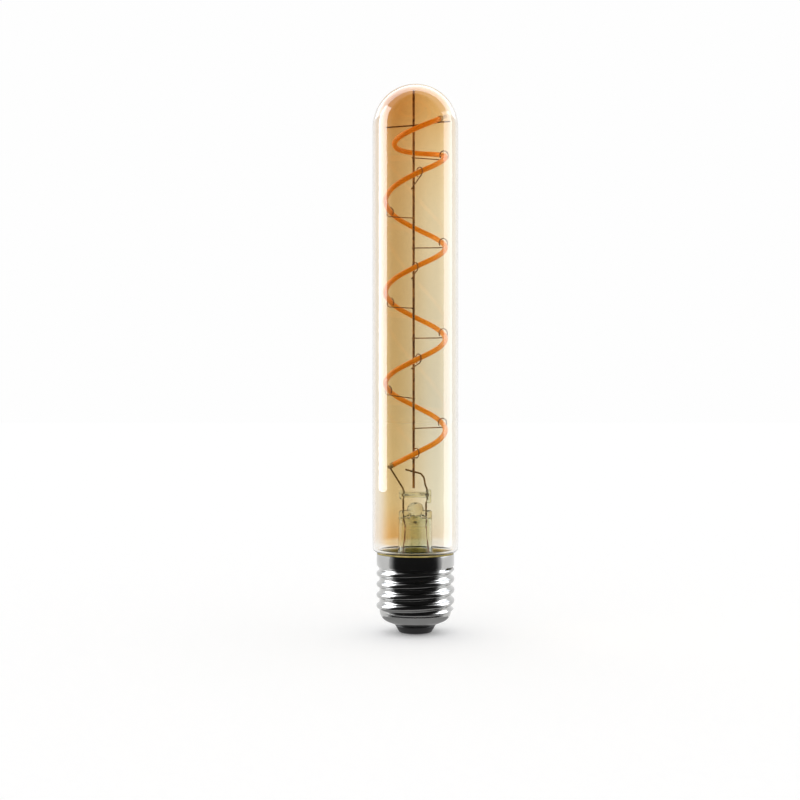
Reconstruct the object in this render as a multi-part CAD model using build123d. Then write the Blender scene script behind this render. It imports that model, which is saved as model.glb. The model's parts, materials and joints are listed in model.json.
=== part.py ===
"""Tubular LED filament bulb with a screw cap, in millimetres.

+Z runs up the bulb's axis to the dome. The origin is the centre of the contact's flat face,
the lowest point of the cap. The viewer of the photograph stands on the -Y side.
"""
import math
import os

from build123d import *

os.makedirs("parts", exist_ok=True)

# Envelope: a drawn tube with a hemispherical dome and a tucked neck
overall_length = 185.0
glass_radius = 14.5
glass_wall = 0.8
shoulder_z = 27.2
shoulder_bend = 1.7
neck_radius = 12.2
neck_bend = 0.45
neck_end_z = 23.4

# Screw cap: a rolled sheet-metal shell with a round thread
sheet = 0.3
cement_gap = 0.6
cap_rim_z = 26.7
skirt_radius = neck_radius + cement_gap + sheet
skirt_start_z = 22.9
skirt_cone_height = 1.3
thread_crest_radius = 13.2
thread_root_radius = 12.1
thread_pitch = 3.629
thread_first_z = 3.67
thread_turns = 5.2
thread_runout_z = 6.9
thread_clear = 0.2
root_dive_degrees = 12.0
root_sink = 0.03
runout_sink = 0.4
shoulder_radius = 3.8
cone_slope_degrees = 22.6
lip_radius = 7.0
lip_z = 2.9
lip_hole_radius = 6.6

# Insulator and rivet contact
insulator_bottom_radius = 5.5
insulator_bottom_z = 0.3
insulator_flange_radius = 9.2
insulator_top_z = 5.0
contact_flat_radius = 2.4
contact_head_radius = 3.2
contact_head_height = 0.8
contact_shank_radius = 1.1
contact_shank_end_z = 4.2
contact_bore_depth = 2.7

# Basing cement
cement_bottom_z = 23.7
cement_lip_inset = 0.1
cement_overlap = 1.0

# Glass stem: flare, press and exhaust tube
stem_radius = 5.75
stem_wall = 0.9
pinch_start_z = 36.2
press_bottom_z = 39.5
press_width = 11.2
press_depth = 4.6
press_corner = 1.6
press_shoulder_z = 41.3
press_edge = 0.9
hump_radius = 2.8
hump_top_z = 43.9
hollow_top_z = 38.6
hollow_slot_width = 9.0
hollow_slot_depth = 1.8
exhaust_radius = 2.0
exhaust_wall = 0.6
exhaust_top_z = 39.9
exhaust_tip_z = 17.2
exhaust_tip_length = 2.6
exhaust_port_radius = 0.7
exhaust_port_z = 39.0

# Glass cross bar above the press, with a melted lump at each end
bead_z = 46.5
bead_radius = 0.95
bead_length = 10.8
lump_radius = 0.85
lump_end_bend = 0.7
left_lump_bottom_z = 44.9
right_lump_bottom_z = 43.6
lump_top_z = 48.3
collar_radius = 0.8
collar_tip_radius = 0.5
collar_top_z = 48.1

# Centre rod
rod_x = -0.6
rod_radius = 0.42
rod_bottom_z = 48.7
rod_tip_gap = 0.8
rod_top_z = overall_length - glass_wall - rod_tip_gap

# Lead wires: nickel above the press, a thin seal section in it, copper below
inner_lead_radius = 0.3
seal_radius = 0.22
outer_lead_radius = 0.18
lead_bend = 0.7
weld_gap = 0.01
seal_top_z = 40.6
seal_bottom_z = 35.4
left_lead_x = -4.1
left_lead_bend_z = 48.5
right_lead_x = 3.6
right_bead_x = 4.15
left_outer_x = -3.4
right_outer_x = 3.7
outer_lead_spread = 1.0
outer_lead_knee_z = 27.5
outer_lead_foot_z = 20.0
right_lead_kink_z = 43.6
right_bead_low_z = 45.2
right_bead_high_z = 47.8
right_lead_lean_x = 3.35
right_lead_lean_z = 49.8
right_lead_turn_x = 2.9
right_lead_turn_y = 0.15
right_lead_turn_z = 52.3
right_lead_cross_x = 1.9
right_lead_cross_z = 53.6
right_lead_tip_x = -3.4
right_lead_tip_z = 55.0

# Filament: an open right-handed helix, with a tighter last turn
filament_radius = 0.85
helix_clearance = 3.6
helix_radius = glass_radius - glass_wall - helix_clearance
helix_front_drop = 31.8
helix_front_z = overall_length - helix_front_drop
helix_bottom_z = 57.1
helix_bottom_azimuth = -1215
helix_pitch = (helix_front_z - helix_bottom_z) * 360 / (-90 - helix_bottom_azimuth)
helix_step = 45
top_turn = [  # by hand: azimuth, how far inside the helix, and how far above its front
    (45, 0.2, 9.7),
    (90, 1.1, 10.4),
    (135, 2.2, 10.9),
    (180, 3.1, 11.9),
    (225, 3.2, 13.4),
    (270, 2.8, 15.5),
    (310, 1.7, 18.0),
    (330, 1.1, 19.3),
]

# Support hooks, welded across the rod, three to a turn
hook_top_rise = 7.0
hook_lag = 0.11
hook_wire_radius = 0.18
hook_tail = 0.9
hook_lead_in = 1.6
hook_curl_gap = 0.55
hook_curl_radius = filament_radius + hook_wire_radius + hook_curl_gap
hook_curl_degrees = 315.0
weld_nugget_radius = 0.36
hook_kinds = [  # name, side of the rod, the curl's plane, where it starts, how far it is pulled out
    ("right", 1, 20.0, -100.0, 0.3),
    ("front", 1, -55.0, -72.0, 0.0),
    ("left", -1, 138.0, -95.0, 0.3),
]
hook_azimuths = [15, -83, -213, 21, -91, -214, 21, -85, -206, 24, -89]

# Filament terminals and the wire across the rod's top
top_terminal_length = 4.6
bottom_terminal_length = 2.5
terminal_width = 1.0
terminal_thickness = 0.25
sheath_wall = 0.08
sheath_radius = filament_radius + sheath_wall
sheath_length = 1.3
terminal_weld_share = 0.75
cross_wire_radius = 0.25
cross_wire_drop = 12.3
cross_wire_z = rod_top_z - cross_wire_drop
cross_wire_left_drop = 0.7
cross_wire_gap = 3.7
cross_wire_overhang = 3.0

# Driver in the cap
board_radius = 9.0
board_thickness = 1.0
board_z = 13.0
hole_gap = 0.05
lead_stub = 0.4
leg_size = 0.4
leg_height = 1.0
package_standoff = 0.2
package_chamfer = 0.3
rectifier_size = (4.7, 3.9, 2.4)
rectifier_place = (0.0, -6.0)
chip_size = (4.9, 3.9, 1.5)
chip_place = (0.0, 6.0)
capacitor_radius = 2.5
capacitor_length = 9.0
capacitor_y = 4.9
capacitor_lead_radius = 0.25
capacitor_lead_turn = 0.9
capacitor_lead_bend = 0.5
capacitor_board_gap = 0.2
can_groove_from_end = 1.8
can_groove_half_width = 0.4
can_groove_depth = 0.3
can_edge = 0.3
resistor_radius = 1.2
resistor_length = 5.4
resistor_bottom_z = 6.4
resistor_lead_radius = 0.25
resistor_cap_length = 1.3
resistor_waist = 0.2
resistor_taper = 0.3
resistor_edge = 0.3
shell_lead_radius = 0.25
shell_lead_azimuth = 200.0
shell_lead_board_radius = 7.8
shell_lead_rise = 1.2
shell_lead_slant = 1.4
shell_lead_top_z = 20.5


def save(name, shape):
    """Write one sub-part to its own file, and print its volume."""
    export_step(shape, f"parts/{name}.step")
    print(f"{name:22s} {shape.volume:10.3f} mm3")


def turned(corners):
    """Revolve an outline about the axis; each corner is (radius, height) or (radius, height, fillet)."""
    points = [(corner[0], 0, corner[1]) for corner in corners]
    fillets = [corner[2] if len(corner) > 2 else 0 for corner in corners]
    if any(fillets):
        outline = FilletPolyline(*points, radius=fillets, close=True)
    else:
        outline = Polyline(*points, close=True)
    return revolve(make_face(outline), axis=Axis.Z)


def round_bar(path, radius):
    """A round bar along a path."""
    start = Plane(origin=path @ 0, z_dir=path % 0)
    return sweep(start * Circle(radius), path=path)


def wire_along(points, radius, bend=lead_bend):
    """A round wire through points, with a tangent arc at each bend."""
    if len(points) == 2:
        return round_bar(Line(*points), radius)
    return round_bar(FilletPolyline(*points, radius=bend), radius)


def around(azimuth, radius, height):
    """A point at an azimuth in degrees from +X, a radius and a height."""
    turn = math.radians(azimuth)
    return Vector(radius * math.cos(turn), radius * math.sin(turn), height)


# Envelope
def glass_form(inset):
    """The solid form inside the envelope's outer surface, moved in by a wall."""
    dome_z = overall_length - glass_radius
    radius = glass_radius - inset
    step = glass_radius - neck_radius
    outer_bend = max(0, min(shoulder_bend, 0.74 * step) - inset)
    inner_bend = min(neck_bend + inset, 0.98 * step - outer_bend)
    body = turned([
        (0, neck_end_z),
        (neck_radius - inset, neck_end_z),
        (neck_radius - inset, shoulder_z + inset, inner_bend),
        (radius, shoulder_z + inset, outer_bend),
        (radius, dome_z),
        (0, dome_z),
    ])
    half_ball = Sphere(radius) & Pos(0, 0, radius) * Box(2 * radius, 2 * radius, 2 * radius)
    return body + Pos(0, 0, dome_z) * half_ball


# Screw cap
cone_slope = math.tan(math.radians(cone_slope_degrees))


def cone_height(radius, inset=0.0):
    """Height of the cap's lower cone at a radius, or of the surface one inset above it."""
    across = inset / math.cos(math.radians(cone_slope_degrees))
    return lip_z + (radius - lip_radius) * cone_slope + across


def thread_section(inset):
    """The half-round thread section: one crest arc between two root arcs, at the first turn."""
    half_pitch = thread_pitch / 2
    depth = thread_crest_radius - thread_root_radius
    arc = ((half_pitch / 2) ** 2 + (depth / 2) ** 2) / depth
    crest_arc = arc - inset
    root_arc = arc + inset
    crest_centre = thread_crest_radius - arc
    root_centre = thread_root_radius + arc
    lean = math.atan2(half_pitch, root_centre - crest_centre)
    dive = math.radians(root_dive_degrees)

    def on_root(angle):
        return root_centre - root_arc * math.cos(angle), half_pitch - root_arc * math.sin(angle)

    flank = (crest_centre + crest_arc * math.cos(lean), crest_arc * math.sin(lean))
    middle = on_root((lean + dive) / 2)
    end = on_root(dive)
    base = thread_root_radius - 2 * sheet - inset

    def at(point, side):
        return (point[0], 0, thread_first_z + side * point[1])

    outline = Curve() + [
        Line(at((base, end[1]), -1), at(end, -1)),
        ThreePointArc(at(end, -1), at(middle, -1), at(flank, -1)),
        ThreePointArc(at(flank, -1), at((thread_crest_radius - inset, 0), 1), at(flank, 1)),
        ThreePointArc(at(flank, 1), at(middle, 1), at(end, 1)),
        Line(at(end, 1), at((base, end[1]), 1)),
        Line(at((base, end[1]), 1), at((base, end[1]), -1)),
    ]
    return make_face(outline)


def thread_limit(inset):
    """The turned form that ends the thread: a run-out cone below and another into the skirt."""
    runout_radius = thread_root_radius - runout_sink - inset * math.sqrt(2)
    clear_radius = thread_crest_radius + thread_clear
    rise = clear_radius - runout_radius
    skirt_rise = clear_radius - runout_radius - inset * math.sqrt(2)
    return turned([
        (0, thread_runout_z),
        (runout_radius, thread_runout_z),
        (clear_radius, thread_runout_z + rise),
        (clear_radius, skirt_start_z - skirt_rise),
        (clear_radius - skirt_rise, skirt_start_z),
        (0, skirt_start_z),
    ])


def cap_form(inset):
    """The solid form inside the cap's outer surface, moved in by the sheet."""
    root = thread_root_radius + root_sink - inset
    core = turned([
        (0, cone_height(lip_hole_radius, inset)),
        (lip_hole_radius, cone_height(lip_hole_radius, inset)),
        (root, cone_height(root, inset), shoulder_radius - inset),
        (root, skirt_start_z - skirt_cone_height),
        (skirt_radius - inset, skirt_start_z),
        (skirt_radius - inset, cap_rim_z),
        (0, cap_rim_z),
    ])
    path = Helix(
        pitch=thread_pitch,
        height=thread_turns * thread_pitch,
        radius=thread_root_radius,
        center=(0, 0, thread_first_z),
    )
    ridge = sweep(thread_section(inset), path=path, is_frenet=True)
    return core + (ridge & thread_limit(inset))


def cap_shell():
    hole = Pos(0, 0, lip_z) * Cylinder(lip_hole_radius, 4 * sheet + 1)
    return cap_form(0) - cap_form(sheet) - hole


def cap_insulator():
    """Moulded plug that fills the shell's lower hole, with a flange over the sheet."""
    plug = turned([
        (0, insulator_bottom_z),
        (insulator_bottom_radius, insulator_bottom_z, 0.3),
        (lip_radius, cone_height(lip_radius)),
        (lip_hole_radius, cone_height(lip_hole_radius)),
        (lip_hole_radius, cone_height(lip_hole_radius, sheet)),
        (insulator_flange_radius, cone_height(insulator_flange_radius, sheet)),
        (insulator_flange_radius, insulator_top_z),
        (0, insulator_top_z),
    ])
    seat = Cylinder(contact_head_radius, 2 * contact_head_height)
    shank_hole = Cylinder(contact_shank_radius, 3 * insulator_top_z)
    return plug - seat - shank_hole


def centre_contact():
    """Rivet contact: a low domed head and a hollow shank that takes the resistor's lead."""
    rivet = turned([
        (0, 0),
        (contact_flat_radius, 0, 0.6),
        (contact_head_radius, insulator_bottom_z),
        (contact_head_radius, contact_head_height),
        (contact_shank_radius, contact_head_height),
        (contact_shank_radius, contact_shank_end_z),
        (0, contact_shank_end_z),
    ])
    bore_z = contact_shank_end_z - contact_bore_depth / 2
    return rivet - Pos(0, 0, bore_z) * Cylinder(resistor_lead_radius, contact_bore_depth)


def cement_ring():
    """Cement between the neck and the skirt, squeezed out over the rim up to the glass."""
    inner_skirt = skirt_radius - sheet
    lip = skirt_radius - cement_lip_inset
    hidden = neck_radius - cement_overlap
    top_z = shoulder_z + shoulder_bend / 2
    ring = turned([
        (hidden, cement_bottom_z),
        (inner_skirt, cement_bottom_z),
        (inner_skirt, cap_rim_z),
        (lip, cap_rim_z),
        (lip, top_z),
        (hidden, top_z),
    ])
    return ring - glass_form(0)


# Glass stem
def stem_flare(wires):
    """Flare tube and flattened press, one piece, cut where wires and exhaust tube are sealed in."""
    inner_radius = stem_radius - stem_wall
    trumpet = neck_radius - glass_wall - stem_radius
    flare_bottom_z = neck_end_z - stem_wall
    tube = turned([
        (inner_radius, pinch_start_z),
        (stem_radius, pinch_start_z),
        (stem_radius, neck_end_z, trumpet),
        (neck_radius, neck_end_z),
        (neck_radius, flare_bottom_z),
        (inner_radius, flare_bottom_z, trumpet + stem_wall),
    ])
    pressed = RectangleRounded(press_width, press_depth, press_corner)
    pinch = loft([Pos(0, 0, pinch_start_z) * Circle(stem_radius), Pos(0, 0, press_bottom_z) * pressed])
    block = extrude(Pos(0, 0, press_bottom_z) * pressed, press_shoulder_z - press_bottom_z)
    block = fillet(block.edges().group_by(Axis.Z)[-1], press_edge)
    hump = turned([
        (0, press_bottom_z),
        (hump_radius, press_bottom_z),
        (hump_radius, hump_top_z, hump_radius - 0.6),
        (0, hump_top_z),
    ])
    slot = Ellipse(hollow_slot_width / 2, hollow_slot_depth / 2)
    hollow = loft([Pos(0, 0, pinch_start_z) * Circle(inner_radius), Pos(0, 0, hollow_top_z) * slot])
    seat_height = exhaust_top_z - pinch_start_z
    exhaust_seat = Pos(0, 0, pinch_start_z + seat_height / 2) * Cylinder(exhaust_radius, seat_height)
    stem = tube + pinch + block + hump - hollow - exhaust_seat - exhaust_port()
    for wire in wires:
        stem -= wire
    return stem


def exhaust_port():
    """The blow hole from the exhaust tube's bore through the back of the press."""
    side = Plane(origin=(0, 0, exhaust_port_z), z_dir=(0, 1, 0))
    return extrude(side * Circle(exhaust_port_radius), 2 * press_depth)


def exhaust_tube():
    """Inner tube, sealed into the press above and tipped off to a solid nub below."""
    inner_radius = exhaust_radius - exhaust_wall
    nub_z = exhaust_tip_z + exhaust_tip_length
    tube = turned([
        (0, exhaust_tip_z),
        (exhaust_wall, exhaust_tip_z, 0.3),
        (exhaust_radius, nub_z),
        (exhaust_radius, exhaust_top_z),
        (inner_radius, exhaust_top_z),
        (inner_radius, nub_z + exhaust_wall),
        (0, nub_z - exhaust_wall),
    ])
    return tube - exhaust_port()


def end_lump(bottom_z):
    """A drop of melted glass, rounded above and below."""
    return turned([
        (0, bottom_z),
        (lump_radius, bottom_z, lump_end_bend),
        (lump_radius, lump_top_z, lump_end_bend),
        (0, lump_top_z),
    ])


def bead_bar(wires):
    """Glass rod across the leads, with a lump at each end and a collar drawn up round each lead."""
    lump_x = bead_length / 2 - lump_radius
    bar = Pos(0, 0, bead_z) * Rot(0, 90, 0) * Cylinder(bead_radius, 2 * lump_x)
    bar += Pos(-lump_x, 0, 0) * end_lump(left_lump_bottom_z)
    bar += Pos(lump_x, 0, 0) * end_lump(right_lump_bottom_z)
    height = collar_top_z - bead_z
    for x in (left_lead_x, right_bead_x):
        bar += Pos(x, 0, bead_z + height / 2) * Cone(collar_radius, collar_tip_radius, height)
    for wire in wires:
        bar -= wire
    return bar


# Filament
def corner_radii(points):
    """The largest tangent arc at each inner corner: 0.45 of its shorter run."""
    radii = []
    for before, corner, after in zip(points, points[1:], points[2:]):
        run_in = corner - before
        run_out = after - corner
        half_turn = math.radians(run_in.get_angle(run_out)) / 2
        radii.append(0.45 * min(run_in.length, run_out.length) / math.tan(half_turn))
    return radii


def filament_path():
    """Straight runs and tangent arcs, whose corners stand outside the helix by what the arcs cut."""
    corner_share = 1.075
    points = [around(helix_bottom_azimuth, helix_radius, helix_height(helix_bottom_azimuth))]
    for azimuth in range(helix_bottom_azimuth + helix_step, 1, helix_step):
        points.append(around(azimuth, helix_radius * corner_share, helix_height(azimuth)))
    for azimuth, inside, above in top_turn[:-1]:
        points.append(around(azimuth, (helix_radius - inside) * corner_share, helix_front_z + above))
    azimuth, inside, above = top_turn[-1]
    points.append(around(azimuth, helix_radius - inside, helix_front_z + above))
    return FilletPolyline(*points, radius=corner_radii(points))


def helix_height(azimuth):
    """Height of the regular helix at an azimuth, counted down from the front."""
    return helix_front_z + helix_pitch * (azimuth + 90) / 360


filament_line = filament_path()
filament_samples = [filament_line @ (step / 1600) for step in range(1601)]


# Support hooks
def hook(root_z, side, centre, plane_azimuth, start_angle):
    """A wire welded across the rod's side, run out below the filament and curled round it."""
    rod = Vector(rod_x, 0, 0)
    curl_way = around(plane_azimuth, 1, 0)
    up = Vector(0, 0, 1)

    def on_curl(degrees):
        turn = math.radians(start_angle + degrees)
        return centre + curl_way * (hook_curl_radius * math.cos(turn)) + up * (hook_curl_radius * math.sin(turn))

    start = on_curl(0)
    turn = math.radians(start_angle)
    start_way = curl_way * -math.sin(turn) + up * math.cos(turn)
    offset = rod_radius + hook_wire_radius + weld_gap
    away = math.hypot(start.X - rod_x, start.Y)
    azimuth = math.degrees(math.atan2(start.Y, start.X - rod_x) + side * math.asin(offset / away))
    outward = around(azimuth, 1, 0)
    sideways = around(azimuth - 90, side, 0)
    root = rod + sideways * offset + up * root_z
    arm_way = (start - root).normalized()
    arm_end = start - arm_way * hook_lead_in
    pull = hook_lead_in / 2
    quarter = hook_curl_degrees / 4
    path = Wire([
        Line(root - arm_way * hook_tail, arm_end).edge(),
        Bezier(arm_end, arm_end + arm_way * pull, start - start_way * pull, start).edge(),
        ThreePointArc(start, on_curl(quarter), on_curl(2 * quarter)).edge(),
        ThreePointArc(on_curl(2 * quarter), on_curl(3 * quarter), on_curl(4 * quarter)).edge(),
    ])
    nugget = Pos(root - sideways * (hook_wire_radius + weld_gap)) * Sphere(weld_nugget_radius)
    return round_bar(path, hook_wire_radius) + nugget - centre_rod()


def save_hooks():
    """Hooks go down the rod by a third of a turn less a little, right, front and left in turn."""
    spacing = helix_pitch / len(hook_kinds) - hook_lag
    for index, azimuth in enumerate(hook_azimuths):
        turn, kind = divmod(index, len(hook_kinds))
        name, side, plane_azimuth, start_angle, pulled = hook_kinds[kind]
        root_z = helix_front_z + hook_top_rise - index * spacing
        held = around(azimuth, helix_radius, helix_height(azimuth - 360 * turn))
        held = min(filament_samples, key=lambda point: (point - held).length)
        centre = held + around(azimuth, pulled, 0)
        save(f"{name}_hook_{turn + 1}", hook(root_z, side, centre, plane_azimuth, start_angle))


def centre_rod():
    rod_length = rod_top_z - rod_bottom_z
    return Pos(rod_x, 0, rod_bottom_z + rod_length / 2) * Cylinder(rod_radius, rod_length)


# Terminals
def terminal(start, direction, length):
    """A metal cap on the filament's end, and a flat strip that goes on from it."""
    across = Vector(0, 0, 1).cross(direction).normalized()
    plane = Plane(origin=start, x_dir=across, z_dir=direction)
    strip = extrude(plane * Rectangle(terminal_thickness, terminal_width), length)
    return strip + extrude(plane * Circle(sheath_radius), sheath_length)


def weld_point(start, direction, wire_radius):
    """Centre of a wire that lies against the lower strip's side towards the axis."""
    across = Vector(0, 0, 1).cross(direction).normalized()
    place = start + direction.normalized() * bottom_terminal_length * terminal_weld_share
    if across.dot(Vector(place.X, place.Y, 0)) > 0:
        across = across * -1
    return place + across * (terminal_thickness / 2 + wire_radius + weld_gap)


def sheath_weld_point(start, direction, wire_radius):
    """Centre of a wire that passes under the metal cap on the filament's end."""
    below = direction.cross(Vector(0, 0, 1).cross(direction)).normalized() * -1
    middle = start + direction.normalized() * sheath_length / 2
    return middle + below * (sheath_radius + wire_radius + weld_gap)


bottom_end = filament_line @ 0
bottom_way = (filament_line % 0) * -1
top_end = filament_line @ 1
top_way = filament_line % 1


# Wires
def inner_lead_left():
    weld = weld_point(bottom_end, bottom_way, inner_lead_radius)
    points = [
        Vector(left_lead_x, 0, seal_top_z),
        Vector(left_lead_x, 0, left_lead_bend_z),
        weld + Vector(0, 0, -inner_lead_radius),
    ]
    return wire_along(points, inner_lead_radius)


def inner_lead_right():
    """Rises through the cross bar, leans in and passes behind the rod, where it is welded."""
    behind = rod_radius + inner_lead_radius + weld_gap
    points = [
        (right_lead_x, 0, seal_top_z),
        (right_lead_x, 0, right_lead_kink_z),
        (right_bead_x, 0, right_bead_low_z),
        (right_bead_x, 0, right_bead_high_z),
        (right_lead_lean_x, 0, right_lead_lean_z),
        (right_lead_turn_x, right_lead_turn_y, right_lead_turn_z),
        (right_lead_cross_x, behind, right_lead_cross_z),
        (right_lead_tip_x, behind, right_lead_tip_z),
    ]
    return wire_along(points, inner_lead_radius)


def outer_lead(top_x, sign):
    points = [
        (top_x, 0, seal_bottom_z),
        (top_x + sign * outer_lead_spread * 0.7, 0, outer_lead_knee_z),
        (top_x + sign * outer_lead_spread, 0, outer_lead_foot_z),
        (top_x + sign * outer_lead_spread, 0, board_z + board_thickness),
    ]
    return wire_along(points, outer_lead_radius)


def top_cross_wire():
    """Welded across the front of the rod, and on under the upper terminal."""
    front = -(rod_radius + cross_wire_radius + weld_gap)
    left_x = cross_wire_gap - (glass_radius - glass_wall)
    crossing = Vector(rod_x, front, cross_wire_z)
    weld = sheath_weld_point(top_end, top_way, cross_wire_radius)
    level = Vector(weld.X - crossing.X, 0, weld.Z - crossing.Z).normalized()
    points = [
        Vector(left_x, front, cross_wire_z - cross_wire_left_drop),
        crossing,
        weld,
        weld + level * cross_wire_overhang,
    ]
    nugget = Pos(rod_x, front + cross_wire_radius, cross_wire_z) * Sphere(weld_nugget_radius + cross_wire_radius / 4)
    return wire_along(points, cross_wire_radius, bend=2.0) + nugget - centre_rod()


# Driver
def board_holes():
    """Centres and radii of the holes in the board."""
    shell_hole = around(shell_lead_azimuth, shell_lead_board_radius, 0)
    return [
        (0, 0, resistor_lead_radius),
        (capacitor_length / 2 + capacitor_lead_turn, capacitor_y, capacitor_lead_radius),
        (shell_hole.X, shell_hole.Y, shell_lead_radius),
    ]


def driver_board():
    board = Pos(0, 0, board_z + board_thickness / 2) * Cylinder(board_radius, board_thickness)
    for x, y, radius in board_holes():
        board -= Pos(x, y, board_z) * Cylinder(radius + hole_gap, 4 * board_thickness)
    return board


def chip_package(size, place, leg_count):
    """A moulded package on legs, on the board's upper face."""
    length, width, height = size
    floor_z = board_z + board_thickness
    x, y = place
    body = Pos(x, y, floor_z + package_standoff + height / 2) * Box(length, width, height)
    body = chamfer(body.edges().group_by(Axis.Z)[-1], package_chamfer)
    pitch = length / (leg_count // 2)
    for index in range(leg_count // 2):
        leg_x = x + (index - (leg_count // 2 - 1) / 2) * pitch
        for side in (-1, 1):
            leg_y = y + side * (width / 2 + leg_size)
            body += Pos(leg_x, leg_y, floor_z + leg_height / 2) * Box(leg_size, 2 * leg_size, leg_height)
    return body


def smoothing_capacitor():
    """A can lying under the board, with one rolled groove and a lead bent up through the board."""
    axis_z = board_z - capacitor_radius - capacitor_board_gap
    half = capacitor_length / 2
    groove = half - can_groove_from_end
    can = turned([
        (0, -half),
        (capacitor_radius, -half, can_edge),
        (capacitor_radius, groove - can_groove_half_width),
        (capacitor_radius - can_groove_depth, groove),
        (capacitor_radius, groove + can_groove_half_width),
        (capacitor_radius, half, can_edge),
        (0, half),
    ])
    can = Pos(0, capacitor_y, axis_z) * Rot(0, 90, 0) * can
    turn_x = half + capacitor_lead_turn
    points = [
        (half - capacitor_lead_bend, capacitor_y, axis_z),
        (turn_x, capacitor_y, axis_z),
        (turn_x, capacitor_y, board_z + board_thickness + lead_stub),
    ]
    return can + wire_along(points, capacitor_lead_radius, bend=capacitor_lead_bend)


def fusible_resistor():
    """A standing resistor whose lower lead is the lead to the contact."""
    top_z = resistor_bottom_z + resistor_length
    lead_bottom_z = contact_shank_end_z - contact_bore_depth
    lead_top_z = board_z + board_thickness + lead_stub
    waist_radius = resistor_radius - resistor_waist
    taper = resistor_cap_length + resistor_taper
    return turned([
        (0, lead_bottom_z),
        (resistor_lead_radius, lead_bottom_z),
        (resistor_lead_radius, resistor_bottom_z),
        (resistor_radius, resistor_bottom_z, resistor_edge),
        (resistor_radius, resistor_bottom_z + resistor_cap_length),
        (waist_radius, resistor_bottom_z + taper),
        (waist_radius, top_z - taper),
        (resistor_radius, top_z - resistor_cap_length),
        (resistor_radius, top_z, resistor_edge),
        (resistor_lead_radius, top_z),
        (resistor_lead_radius, lead_top_z),
        (0, lead_top_z),
    ])


def shell_lead():
    """From the board out to the shell's inner wall, where it is clamped below the neck."""
    wall_radius = thread_root_radius - sheet - shell_lead_radius - weld_gap
    bend_z = board_z + board_thickness + shell_lead_rise
    return wire_along([
        around(shell_lead_azimuth, shell_lead_board_radius, board_z - lead_stub),
        around(shell_lead_azimuth, shell_lead_board_radius, bend_z),
        around(shell_lead_azimuth, wall_radius, bend_z + shell_lead_slant),
        around(shell_lead_azimuth, wall_radius, shell_lead_top_z),
    ], shell_lead_radius)


def main():
    save("glass_envelope", glass_form(0) - glass_form(glass_wall))
    save("cap_shell", cap_shell())
    save("cap_insulator", cap_insulator())
    save("centre_contact", centre_contact())
    save("cement_ring", cement_ring())

    left = inner_lead_left()
    right = inner_lead_right()
    seal_left = wire_along([(left_outer_x, 0, seal_bottom_z), (left_lead_x, 0, seal_top_z)], seal_radius)
    seal_right = wire_along([(right_outer_x, 0, seal_bottom_z), (right_lead_x, 0, seal_top_z)], seal_radius)
    save("inner_lead_left", left)
    save("inner_lead_right", right)
    save("seal_wire_left", seal_left)
    save("seal_wire_right", seal_right)
    save("outer_lead_left", outer_lead(left_outer_x, -1))
    save("outer_lead_right", outer_lead(right_outer_x, 1))
    save("stem_flare", stem_flare([left, right, seal_left, seal_right]))
    save("exhaust_tube", exhaust_tube())
    save("bead_bar", bead_bar([left, right]))

    save("centre_rod", centre_rod())
    cross_wire = top_cross_wire()
    save("top_cross_wire", cross_wire)
    save("filament", round_bar(filament_line, filament_radius))
    save("terminal_top", terminal(top_end, top_way, top_terminal_length) - cross_wire)
    save("terminal_bottom", terminal(bottom_end, bottom_way, bottom_terminal_length) - left)
    save_hooks()

    save("driver_board", driver_board())
    save("bridge_rectifier", chip_package(rectifier_size, rectifier_place, 4))
    save("driver_chip", chip_package(chip_size, chip_place, 8))
    save("smoothing_capacitor", smoothing_capacitor())
    save("fusible_resistor", fusible_resistor())
    save("shell_lead", shell_lead())


main()
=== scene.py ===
# %% [markdown]
# A tubular light bulb with an amber glass tube, a helical filament and a screw cap.
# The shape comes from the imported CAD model, which is loaded as a fixed frame in metres.
# This lesson gives it its finishes: each step says what the piece is, how it could be
# made in Blender, and why it is made as it is here.

import json
import math

import bmesh
import bpy
from mathutils import Matrix, Vector, noise


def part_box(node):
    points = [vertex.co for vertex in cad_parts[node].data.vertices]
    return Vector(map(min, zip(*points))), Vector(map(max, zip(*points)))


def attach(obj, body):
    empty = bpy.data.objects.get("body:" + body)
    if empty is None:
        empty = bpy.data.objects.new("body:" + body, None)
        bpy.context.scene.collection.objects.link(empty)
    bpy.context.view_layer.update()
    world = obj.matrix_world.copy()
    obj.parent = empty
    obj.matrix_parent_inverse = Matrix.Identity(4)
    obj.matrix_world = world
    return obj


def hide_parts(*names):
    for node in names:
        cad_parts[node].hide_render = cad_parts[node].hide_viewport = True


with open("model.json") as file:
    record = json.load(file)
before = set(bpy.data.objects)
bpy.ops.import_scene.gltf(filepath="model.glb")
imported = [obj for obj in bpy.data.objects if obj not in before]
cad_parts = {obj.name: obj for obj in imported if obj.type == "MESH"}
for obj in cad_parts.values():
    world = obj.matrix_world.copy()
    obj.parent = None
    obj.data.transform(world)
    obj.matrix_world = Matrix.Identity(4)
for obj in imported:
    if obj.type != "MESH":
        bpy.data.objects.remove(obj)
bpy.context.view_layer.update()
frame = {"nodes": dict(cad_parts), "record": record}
nodes = frame["nodes"]
MM = 0.001
print("CAD nodes:", len(nodes))

# %% [markdown]
# The picture is taken with a level camera, 441 mm in front of the bulb's axis and a little
# to its left, at mid-height. A longer lens from further off would flatten the cap's
# ellipses, and they are open in this view, so the distance matters as much as the lens.

# %% Camera
camera_data = bpy.data.cameras.new("camera")
camera_data.sensor_width = 36
camera_data.lens = 58.7
camera = bpy.data.objects.new("camera", camera_data)
camera.location = Vector((-5.2, -441, 78.5)) * MM
camera.rotation_euler = (math.radians(90), 0, 0)
bpy.context.scene.collection.objects.link(camera)
bpy.context.scene.camera = camera
bpy.context.scene.view_settings.view_transform = "Standard"
print("camera at", camera.location)

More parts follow.
